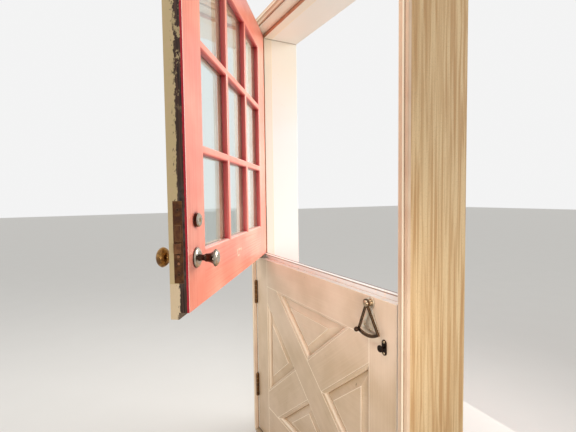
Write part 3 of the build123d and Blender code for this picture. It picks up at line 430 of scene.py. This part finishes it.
brace_rise = 0.614
brace_run = 0.772
brace_slope = math.atan2(brace_rise, brace_run)
dress(["lower_hinge_stile", "lower_latch_stile"], lower_paint("lower_stile_paint", 2))
dress(["lower_top_rail", "lower_bottom_rail"], lower_paint("lower_rail_paint", 0))
dress(["falling_brace"], lower_paint("falling_brace_paint", 0, -brace_slope))
dress(["rising_braces"], lower_paint("rising_brace_paint", 0, brace_slope))
dress(["head_panel", "foot_panel", "hinge_panel", "latch_panel"],
      lower_paint("panel_paint", 0))

# Upper leaf
# Stiles, rails and slim bars, tenoned together and moulded outside. Coral gloss outside
# and cream in the room; the edge that meets the jamb is rubbed down to dark wood. The
# recesses and the sides of the bars are painted deeper red as shade, the faces that turn
# up and the latch arris lighter as painted highlights, and the cream edge darker as shade.
swing = joints["upper_leaf_swing"]
open_turn = -math.radians(swing["range_deg"][0])
hinge_line = (swing["pos_m"][0], swing["pos_m"][1], 0)
latch_edge = 0.508
edge_cream_to = 0.0265
edge_wood_to = 0.0442
upper_head = 2.06
upper_foot = 0.9635
lap_top = 0.966
frayed_to = 0.957
frayed_from = 0.019
flakes_from = 0.017
splinters_from = 1.5
splinters_to = 1.8
bare_dark = tone(28, 18, 14)
bare_brown = tone(84, 56, 42)
bare_sheen_grey = tone(96, 84, 76)
crimson = tone(176, 30, 44)
shaded_edge_cream = tone(196, 174, 130)
upper_cream = tone(232, 208, 178)
plate_low, plate_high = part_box("faceplate")
recess_shade_red = tone(178, 44, 46)
seam_dirt_and_shade_red = tone(112, 24, 28)
shaded_red = tone(168, 40, 44)
top_highlight_pink = tone(255, 206, 192)
ridge_highlight_pink = tone(255, 226, 212)
scar_cream = tone(250, 222, 190)
scar_middle = (0.016, 1.046)
scar_half = (0.026, 0.008)
scar_line = 0.005


def upper_paint(name, along):
    finish = Finish(name, coat_roughness=0.22)
    finish.shader.inputs["Specular IOR Level"].default_value = 0.3
    where = finish.place(open_turn, hinge_line)
    x, y, z = finish.parts(where)
    across, outward, up = finish.parts(finish.facing(open_turn))
    ridges = brushed_along(finish, where, along)
    clouds = finish.noise(where, scale=4.5, detail=4.0)
    dirt = finish.noise(where, scale=55.0, detail=5.0, roughness=0.65)
    hollow = finish.openness(0.008).under(0.7, 0.4)
    red = coral_coat(finish, ridges, clouds)
    # Painted shade: the recesses and the sides of the bars by the glass go deep red.
    recess_shade = finish.openness(0.03).under(0.72, 0.5)
    red = finish.mix(recess_shade * (dirt * 0.4 + 0.7), red, recess_shade_red)
    # Dark red in the seams, partly dirt and partly painted shade.
    red = finish.mix(hollow * (dirt * 0.6 + 0.4), red, seam_dirt_and_shade_red)
    shaded = across.over(0.45, 0.4).maths("MAXIMUM", up.under(-0.45, 0.4))
    red = finish.mix(shaded * 0.7, red, shaded_red)
    # Painted highlight: faces that turn up are lighter and pinker.
    red = finish.mix(up.over(0.45, 0.4) * 0.6, red, top_highlight_pink)
    scar_x = (x - scar_middle[0]).maths("ABSOLUTE")
    scar_z = (z - scar_middle[1]).maths("ABSOLUTE")
    inner = scar_x.under(scar_half[0], 0.003) * scar_z.under(scar_half[1], 0.003)
    outer = (scar_x.under(scar_half[0] + scar_line, 0.003)
             * scar_z.under(scar_half[1] + scar_line, 0.003))
    kept = x.over(scar_middle[0], 0.004).maths("MAXIMUM", z.over(scar_middle[1], 0.004))
    scar = (outer - inner) * kept * dirt.over(0.44, 0.1)
    red = finish.mix(scar * 0.7, red, scar_cream)
    cream = finish.mix(clouds.over(0.5, 0.4), upper_cream, lower_shade)
    # Dirt and painted shade in the hollows of the room side.
    cream = finish.mix(hollow * dirt.over(0.4, 0.4) * 0.8, cream, lower_dirt_and_shade)
    # Painted highlight along the paint ridge at the latch arris.
    ridge_highlight = x.over(latch_edge - 0.003) * ridges.over(0.35, 0.3)
    red = finish.mix(ridge_highlight * 0.85, red, ridge_highlight_pink)
    colour = finish.mix(y.over(coats_meet), cream, red)

    torn = finish.noise(finish.stretched(where, (60, 60, 32)), detail=6.0, roughness=0.75)
    fray = finish.noise(finish.stretched(where, (300, 300, 110)), detail=4.0)
    splintered = z.over(splinters_from, 0.12) * z.under(splinters_to, 0.12)
    depth = y + (torn - 0.5) * (splintered * 0.018 + 0.020) + (fray - 0.5) * 0.009
    grain = finish.noise(finish.stretched(where, (260, 260, 7)), detail=5.0, distortion=0.4)
    bare = finish.mix(grain.over(0.52, 0.35), bare_dark, bare_brown)
    # Painted sheen: grey-blue patches on the bare wood beside the plate.
    sheen_by_plate = z.over(plate_low[2] - 0.01, 0.03) * z.under(plate_high[2] + 0.04, 0.08)
    bare = finish.mix(sheen_by_plate * dirt.over(0.5, 0.2) * 0.45, bare, bare_sheen_grey)
    bare = finish.mix(splintered * torn.over(0.56, 0.03) * 0.8, bare, shaded_edge_cream)
    # The cream of the edge is painted darker, as shade.
    edge = finish.mix(dirt.over(0.56, 0.3) * 0.6, shaded_edge_cream, lower_shade)
    edge = finish.mix(z.under(plate_low[2] - 0.002, 0.002) * 0.5, edge, upper_cream)
    flakes = fray.over(0.63, 0.02) * y.over(flakes_from, 0.004)
    edge = finish.mix(flakes * 0.8, edge, bare_dark)
    edge = finish.mix(depth.over(edge_cream_to, 0.0012), edge, bare)
    edge = finish.mix((y + (fray - 0.5) * 0.005).over(edge_wood_to, 0.0012), edge, crimson)
    frayed_foot = z.under(frayed_to, 0.006) * torn.over(0.46, 0.05) * y.over(frayed_from, 0.003)
    edge = finish.mix(frayed_foot, edge, bare_dark)
    on_edge = across.squarely() * x.over(latch_edge - 0.002)
    colour = finish.mix(on_edge, colour, edge)
    past_end = z.over(upper_head, 0.002) + z.under(upper_foot)
    on_end = up.maths("ABSOLUTE").squarely() * past_end
    ends = finish.mix(grain.over(0.45, 0.4), bare_brown, lower_shade)
    colour = finish.mix(on_end * 0.75, colour, ends)
    lap = outward.squarely() * y.under(coats_meet) * z.under(lap_top, 0.002)
    colour = finish.mix(lap * (torn * 0.4 + 0.75), colour, bare_dark)
    gouge = on_edge * depth.over(edge_cream_to, 0.0012)
    height = ridges * 0.5 + dirt * 0.2 + on_edge * grain * 0.9 - gouge * 0.8
    return finish.wear(
        base_color=colour,
        coat_weight=(1 - on_edge) * 0.45,
        roughness=ridges * 0.16 + dirt * 0.1 + 0.24 + on_edge * 0.3,
        normal=finish.bump(height, 0.0008, 0.55),
    )


upright_paint = upper_paint("upper_upright_paint", 2)
cross_paint = upper_paint("upper_cross_paint", 0)
dress(["upper_hinge_stile", "upper_latch_stile", "vertical_muntins"], upright_paint)
dress(["upper_top_rail", "upper_bottom_rail", "horizontal_muntins"], cross_paint)

# Glass and glazing beads
# Nine panes of drawn sheet glass, slightly wavy, bedded outside against the bars and
# held in the room by mitred wooden beads in the same cream as that side.


glass_tint = (0.93, 0.965, 0.955, 1)


def pane_glass():
    finish = Finish("pane_glass", roughness=0.015, metallic=1.0)
    where = finish.place(open_turn, hinge_line)
    waves = finish.noise(finish.stretched(where, (5, 5, 2)), detail=1.0)
    smear = finish.noise(finish.stretched(where, (9, 9, 4)), detail=5.0, roughness=0.7)
    dust = finish.noise(where, scale=160.0, detail=2.0)
    aslant = finish.node("LayerWeight", inputs={"Blend": 0.5}, output=1)
    gloss = aslant.maths("POWER", 3.0) * 0.94 + 0.05
    film = smear.over(0.58, 0.3) * 0.05 + dust.over(0.62, 0.1) * 0.03
    clear = finish.node("BsdfTransparent", inputs={"Color": glass_tint})
    both = finish.node("MixShader", inputs={
        0: (gloss + film).maths("MINIMUM", 1.0),
        1: clear,
        2: Value(finish, finish.shader.outputs[0]),
    })
    finish.feed(finish.tree.nodes["Material Output"].inputs["Surface"], both)
    return finish.wear(
        base_color=finish.mix(smear, tone(246, 250, 250), tone(232, 240, 240)),
        roughness=smear.over(0.6, 0.3) * 0.05 + 0.012,
        normal=finish.bump(waves, 0.004, 0.25),
    )


def bead_paint():
    finish = Finish("bead_paint", coat_weight=0.15)
    where = finish.place(open_turn, hinge_line)
    ridges = finish.noise(where, scale=120.0, detail=3.0)
    clouds = finish.noise(where, scale=8.0, detail=4.0)
    colour = finish.mix(clouds.over(0.5, 0.4), upper_cream, lower_shade)
    # Dirt and painted shade in the corners against the bars.
    dirt = finish.openness(0.006).under(0.7, 0.4) * (clouds + 0.3)
    return finish.wear(
        base_color=finish.mix(dirt, colour, lower_dirt_and_shade),
        roughness=ridges * 0.2 + 0.35,
        normal=finish.bump(ridges, 0.0004, 0.5),
    )


dress(["glass_panes"], pane_glass())
dress(["glazing_beads"], bead_paint())

# Hinges
# Four steel butts with five knuckles and loose pins, let in flush. Their brass wash
# has worn off the knuckles, and brown rust and old paint lie in the joints.


joint_dirt = tone(38, 28, 20)


def worn_metal(name, dull, bright, patina, roughness=0.35, bare=0.8, outer_highlight=0.0, rim=0.0012):
    """Dull metal, bright in a rubbed rim along its arrises and, by outer_highlight, with a
    painted highlight on its outer face.
    """
    finish = Finish(name, metallic=1.0)
    where = finish.place()
    clouds = finish.noise(where, scale=60.0, detail=4.0, roughness=0.6)
    fine = finish.noise(where, scale=420.0, detail=3.0, roughness=0.6)
    arris = finish.openness(rim, inside=True).under(0.8, 0.4)
    hollow = finish.openness(0.004).under(0.6, 0.4)
    colour = finish.mix(clouds.over(0.5, 0.35), dull, patina)
    if outer_highlight:
        outward = finish.parts(finish.facing(open_turn))[1]
        colour = finish.mix(outward.over(0.6, 0.6) * outer_highlight, colour, bright)
    colour = finish.mix(arris * bare * (fine * 0.6 + 0.6), colour, bright)
    colour = finish.mix(hollow * 0.8, colour, joint_dirt)
    stained = clouds.over(0.58, 0.2)
    return finish.wear(
        base_color=colour,
        metallic=1 - stained * 0.25 - hollow * 0.4,
        roughness=clouds * 0.22 + fine * 0.1 + roughness - 0.12 - arris * 0.1,
        normal=finish.bump(fine * 0.5 + clouds * 0.5, 0.0003, 0.5),
    )


hinge_brown = worn_metal(
    "hinge_brown", tone(122, 84, 50), tone(196, 160, 110), tone(84, 58, 38), roughness=0.42)
dress(["frame_hinge_leaves", "lower_hinge_leaves", "upper_hinge_leaves", "hinge_pins"],
      hinge_brown)

# Mortise lock and its furniture
# Steel case in the latch stile behind a bronze faceplate, which holds two stop buttons.
# Dark bronze furniture outside, brass turned brown on the room side.
plate_bronze = worn_metal(
    "plate_bronze", tone(112, 76, 50), tone(160, 120, 86), tone(76, 46, 34),
    roughness=0.40, bare=0.5)
bolt_bronze = worn_metal(
    "bolt_bronze", tone(122, 84, 58), tone(178, 136, 100), tone(88, 54, 40),
    roughness=0.36, bare=0.5)
lock_steel = worn_metal(
    "lock_steel", tone(128, 122, 114), tone(196, 192, 184), tone(92, 78, 64), roughness=0.36)
# Painted highlight on the outer face of the outside furniture.
dark_bronze = worn_metal(
    "dark_bronze", tone(84, 58, 46), tone(226, 216, 198), tone(44, 28, 24),
    roughness=0.20, bare=0.6, outer_highlight=0.75)
aged_brass = worn_metal(
    "aged_brass", tone(176, 134, 76), tone(240, 214, 156), tone(104, 70, 38),
    roughness=0.18, bare=0.6)
button_bronze = worn_metal(
    "button_bronze", tone(176, 126, 94), tone(30, 20, 16), tone(146, 98, 70),
    roughness=0.36, bare=1.0, rim=0.0035)
screw_bronze = worn_metal(
    "screw_bronze", tone(84, 58, 40), tone(128, 94, 66), tone(52, 34, 24),
    roughness=0.42, bare=0.4)
plug_brass = worn_metal(
    "plug_brass", tone(176, 146, 98), tone(236, 212, 160), tone(112, 84, 54), roughness=0.3)
dress(["faceplate", "lock_strike", "bolt_strike"], plate_bronze)
dress(["latch_bolt", "dead_bolt", "small_bolt"], bolt_bronze)
dress(["lock_case", "knob_spindle"], lock_steel)
dress(["outer_rose", "outer_knob", "lock_cylinder"], dark_bronze)
dress(["inner_rose", "inner_knob", "thumb_rose", "thumb_turn"], aged_brass)
dress(["upper_button", "lower_button"], button_bronze)
dress(["faceplate_screws"], screw_bronze)
dress(["cylinder_plug"], plug_brass)

# Quadrant
# Brass fan and its keeper, which lock the two leaves together. The fan plate was
# nickelled and shines through the brown; the sector is dark with rubbed edges.
fan_nickel = worn_metal(
    "fan_nickel", tone(242, 230, 210), tone(255, 248, 234), tone(212, 192, 164),
    roughness=0.34, bare=0.5)
sector_bronze = worn_metal(
    "sector_bronze", tone(92, 68, 48), tone(200, 170, 132), tone(60, 42, 30),
    roughness=0.32, bare=0.7)
rubbed_brass = worn_metal(
    "rubbed_brass", tone(226, 208, 178), tone(255, 246, 226), tone(150, 122, 92), roughness=0.24)
dress(["quadrant_plate"], fan_nickel)
dress(["quadrant_sector", "quadrant_keeper", "quadrant_ball"], sector_bronze)
dress(["quadrant_pivot"], rubbed_brass)

# Small bolt of the lower leaf
# A round turn on a slotted plate that throws a rod through the stile into the jamb.
# Cast bronze gone nearly black, screwed to the room side of the stile.
blackened_bronze = worn_metal(
    "blackened_bronze", tone(44, 30, 22), tone(150, 118, 86), tone(28, 20, 16),
    roughness=0.38, bare=0.6)
dress(["turn_plate", "bolt_turn"], blackened_bronze)

# Screws of the hinges, strikes and plates
# Slotted countersunk iron screws, driven nearly flush, their slots turned as they
# happened to stop. Three in each hinge leaf, two or three in each plate.
screw_radius = 0.0042
screw_height = 0.0009
screw_sides = 20
screw_taper = 0.84
slot_width = 0.0011
slot_depth = 0.0006
hinge_screw_rise = 0.041
hinge_screw_inset = 0.012
hinge_leaf_width = 0.044
hinge_length = 0.114
outer_share = 0.3
middle_share = 0.7


def screw_tree():
    tree = bpy.data.node_groups.new("slotted_screws", "GeometryNodeTree")
    tree.is_modifier = True
    sockets = {
        "Places": "NodeSocketGeometry", "Head radius": "NodeSocketFloat",
        "Head height": "NodeSocketFloat", "Slot width": "NodeSocketFloat",
        "Slot depth": "NodeSocketFloat", "Seed": "NodeSocketInt",
        "Metal": "NodeSocketMaterial",
    }
    labels = {}
    for label, kind in sockets.items():
        made = tree.interface.new_socket(label, in_out="INPUT", socket_type=kind)
        labels[label] = made.identifier
    tree.interface.new_socket("Screws", in_out="OUTPUT", socket_type="NodeSocketGeometry")
    given = tree.nodes.new("NodeGroupInput").outputs

    def node(kind, settings=None, inputs=None, output=0):
        made = tree.nodes.new(kind)
        for key, value in (settings or {}).items():
            setattr(made, key, value)
        for key, value in (inputs or {}).items():
            if isinstance(value, bpy.types.NodeSocket):
                tree.links.new(value, made.inputs[key])
            else:
                made.inputs[key].default_value = value
        return made.outputs[output]

    def times(value, factor):
        return node("ShaderNodeMath", {"operation": "MULTIPLY"}, {0: value, 1: factor})

    head = node("GeometryNodeMeshCone", inputs={
        "Vertices": screw_sides, "Radius Top": times(given["Head radius"], screw_taper),
        "Radius Bottom": given["Head radius"], "Depth": given["Head height"]})
    slot_size = node("ShaderNodeCombineXYZ", inputs={
        0: times(given["Head radius"], 3), 1: given["Slot width"],
        2: times(given["Slot depth"], 2)})
    slot_place = node("ShaderNodeCombineXYZ", inputs={2: given["Head height"]})
    slot = node("GeometryNodeTransform", inputs={
        "Geometry": node("GeometryNodeMeshCube", inputs={"Size": slot_size}),
        "Translation": slot_place})
    cut = node("GeometryNodeMeshBoolean", {"operation": "DIFFERENCE"}, {
        "Mesh 1": head, "Mesh 2": slot})
    way = node("GeometryNodeInputNamedAttribute", {"data_type": "FLOAT_VECTOR"}, {
        "Name": "facing"})
    stand = node("FunctionNodeAlignRotationToVector", {"axis": "Z"}, {"Vector": way})
    set_out = node("GeometryNodeInstanceOnPoints", inputs={
        "Points": given["Places"], "Instance": cut, "Rotation": stand})
    stop = node("FunctionNodeRandomValue", {"data_type": "FLOAT"}, {
        2: 0.0, 3: math.pi, "Seed": given["Seed"]}, output=1)
    driven = node("GeometryNodeRotateInstances", inputs={
        "Instances": set_out, "Local Space": True,
        "Rotation": node("ShaderNodeCombineXYZ", inputs={2: stop})})
    real = node("GeometryNodeRealizeInstances", inputs={"Geometry": driven})
    done = node("GeometryNodeSetMaterial", inputs={
        "Geometry": real, "Material": given["Metal"]})
    tree.links.new(done, tree.nodes.new("NodeGroupOutput").inputs[0])
    return tree, labels


slotted_screws, screw_inputs = screw_tree()
screw_iron = worn_metal(
    "screw_iron", tone(138, 112, 84), tone(214, 190, 154), tone(92, 66, 46), roughness=0.34)


def drive_screws(name, body, places, metal, seed):
    """Screws of one body, at places given as pairs of a point and the way it faces."""
    mesh = bpy.data.meshes.new(name + "_places")
    mesh.from_pydata([point for point, way in places], [], [])
    facings = mesh.attributes.new("facing", "FLOAT_VECTOR", "POINT")
    for number, (point, way) in enumerate(places):
        facings.data[number].vector = way
    holder = bpy.data.objects.new(name + "_places", mesh)
    bpy.context.collection.objects.link(holder)
    modifier = holder.modifiers.new("screws", "NODES")
    modifier.node_group = slotted_screws
    sizes = {
        "Head radius": screw_radius, "Head height": screw_height,
        "Slot width": slot_width, "Slot depth": slot_depth, "Seed": seed, "Metal": metal,
    }
    for label, value in sizes.items():
        modifier[screw_inputs[label]] = value
    graph = bpy.context.evaluated_depsgraph_get()
    plain = bpy.data.meshes.new_from_object(holder.evaluated_get(graph))
    bpy.data.objects.remove(holder)
    screws = bpy.data.objects.new(name, plain)
    bpy.context.collection.objects.link(screws)
    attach(screws, body)


def hinge_screws(face_x, way, heights):
    """Three screws in each hinge leaf, the middle one set further from the knuckles."""
    depth = hinge_leaf_width - 2 * hinge_screw_inset
    places = []
    for height in heights:
        for rise, share in ((-1, outer_share), (0, middle_share), (1, outer_share)):
            point = Vector((face_x, hinge_screw_inset + share * depth,
                            height + rise * hinge_screw_rise))
            places.append((point, Vector((way, 0, 0))))
    return places


def swung(places):
    """The same places on the upper leaf as it stands open."""
    centre = Vector(hinge_line)
    turn = Matrix.Rotation(-open_turn, 3, "Z")
    return [(turn @ (point - centre) + centre, turn @ way) for point, way in places]


jamb_plane = 0.511
strike_middle = 0.025
strike_inset = 0.009
small_strike_inset = 0.008
fan_foot_rise = 0.011
fan_side_rise = 0.022
fan_side_reach = 0.027
turn_inset = 0.0065
lower_hinge_low, lower_hinge_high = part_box("lower_hinge_leaves")
upper_hinge_low, upper_hinge_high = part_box("upper_hinge_leaves")
lower_hinges = [lower_hinge_low[2] + hinge_length / 2, lower_hinge_high[2] - hinge_length / 2]
upper_hinges = [upper_hinge_low[2] + hinge_length / 2, upper_hinge_high[2] - hinge_length / 2]
strike_low, strike_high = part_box("lock_strike")
small_low, small_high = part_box("bolt_strike")
turn_low, turn_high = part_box("turn_plate")
fan_low, fan_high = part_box("quadrant_plate")
fan_middle = (fan_low[0] + fan_high[0]) / 2
turn_middle = (turn_low[0] + turn_high[0]) / 2
strike_screws = [
    (Vector((jamb_plane, strike_middle, z)), Vector((-1, 0, 0)))
    for z in (strike_low[2] + strike_inset, strike_high[2] - strike_inset,
              small_low[2] + small_strike_inset, small_high[2] - small_strike_inset)
]
plate_screws = [
    (Vector(place), Vector((0, -1, 0)))
    for place in (
        (fan_middle, fan_low[1], fan_low[2] + fan_foot_rise),
        (fan_middle - fan_side_reach, fan_low[1], fan_low[2] + fan_side_rise),
        (fan_middle + fan_side_reach, fan_low[1], fan_low[2] + fan_side_rise),
        (turn_middle, turn_low[1], turn_low[2] + turn_inset),
        (turn_middle, turn_low[1], turn_high[2] - turn_inset),
    )
]
drive_screws("frame_screws", "frame", strike_screws + hinge_screws(
    -jamb_plane, 1, lower_hinges + upper_hinges), screw_iron, 3)
drive_screws("lower_leaf_screws", "lower_leaf", plate_screws + hinge_screws(
    -latch_edge, -1, lower_hinges), screw_iron, 5)
drive_screws("upper_leaf_screws", "upper_leaf", swung(hinge_screws(
    -latch_edge, -1, upper_hinges)), screw_iron, 8)

# Floor, backdrop and lamps
# A plain pale floor and a plain pale surround. The main lamp stands outside the
# opening, so the outer face of the open leaf is the bright one.


floor_pale = tone(232, 230, 225)
floor_grain = tone(214, 211, 205)
floor_half = 30
floor_drop = 0.001
surround_light = 0.66
surround_seen = 0.9


def floor_sheet(name, half, z, colour):
    mesh = bpy.data.meshes.new(name)
    corners = [(-half, -half, z), (half, -half, z), (half, half, z), (-half, half, z)]
    mesh.from_pydata(corners, [], [(0, 1, 2, 3)])
    sheet = bpy.data.objects.new(name, mesh)
    bpy.context.collection.objects.link(sheet)
    finish = Finish(name, roughness=0.9)
    grain = finish.noise(finish.place(), scale=4.0, detail=2.0)
    mesh.materials.append(finish.wear(
        base_color=finish.mix(grain * 0.15, colour, floor_grain)))


floor_sheet("pale_floor", floor_half, -floor_drop, floor_pale)


def soft_lamp(name, place, target, size, power, colour=(1, 1, 1), spread=180):
    data = bpy.data.lights.new(name, "AREA")
    data.shape = "RECTANGLE"
    data.size, data.size_y = size
    data.energy = power
    data.color = colour
    data.spread = math.radians(spread)
    lamp = bpy.data.objects.new(name, data)
    lamp.location = place
    aim = Vector(target) - Vector(place)
    lamp.rotation_mode = "QUATERNION"
    lamp.rotation_quaternion = aim.to_track_quat("-Z", "Y")
    bpy.context.collection.objects.link(lamp)


soft_lamp("day_lamp", (0.7, 3.2, 2.3), target=(0, 0, 1.5), size=(2.2, 2.0),
          power=32, spread=80)
soft_lamp("room_lamp", (0.2, -1.5, 3.5), target=(0.1, 0, 0.8), size=(1.4, 1.0),
          power=31, colour=(1, 0.94, 0.93))
soft_lamp("low_lamp", (0.1, 1.5, 0.25), target=(0, 0.1, 2.0), size=(1.2, 0.8),
          power=7, colour=(1, 1, 0.94))
soft_lamp("side_lamp", (1.6, -0.5, 0.95), target=(-0.1, 0, 0.78), size=(0.5, 0.5),
          power=1.0, colour=(1, 0.94, 0.9), spread=50)
soft_lamp("fill_lamp", (-1.0, -3.2, 1.2), target=(0, 0, 1.0), size=(2.0, 2.0),
          power=5, colour=(1, 0.95, 0.9))

world = bpy.data.worlds.new("pale_surround")
world.use_nodes = True
surround = world.node_tree
background = surround.nodes["Background"]
background.inputs["Color"].default_value = (1, 1, 1, 1)
seen = surround.nodes.new("ShaderNodeLightPath").outputs
strength = seen["Is Camera Ray"]
for ray in ("Is Glossy Ray", "Is Transmission Ray"):
    either = surround.nodes.new("ShaderNodeMath")
    either.operation = "MAXIMUM"
    surround.links.new(strength, either.inputs[0])
    surround.links.new(seen[ray], either.inputs[1])
    strength = either.outputs[0]
levels = surround.nodes.new("ShaderNodeMapRange")
levels.inputs["To Min"].default_value = surround_light
levels.inputs["To Max"].default_value = surround_seen
surround.links.new(strength, levels.inputs["Value"])
surround.links.new(levels.outputs[0], background.inputs["Strength"])
bpy.context.scene.world = world
bpy.context.scene.view_settings.view_transform = "Standard"
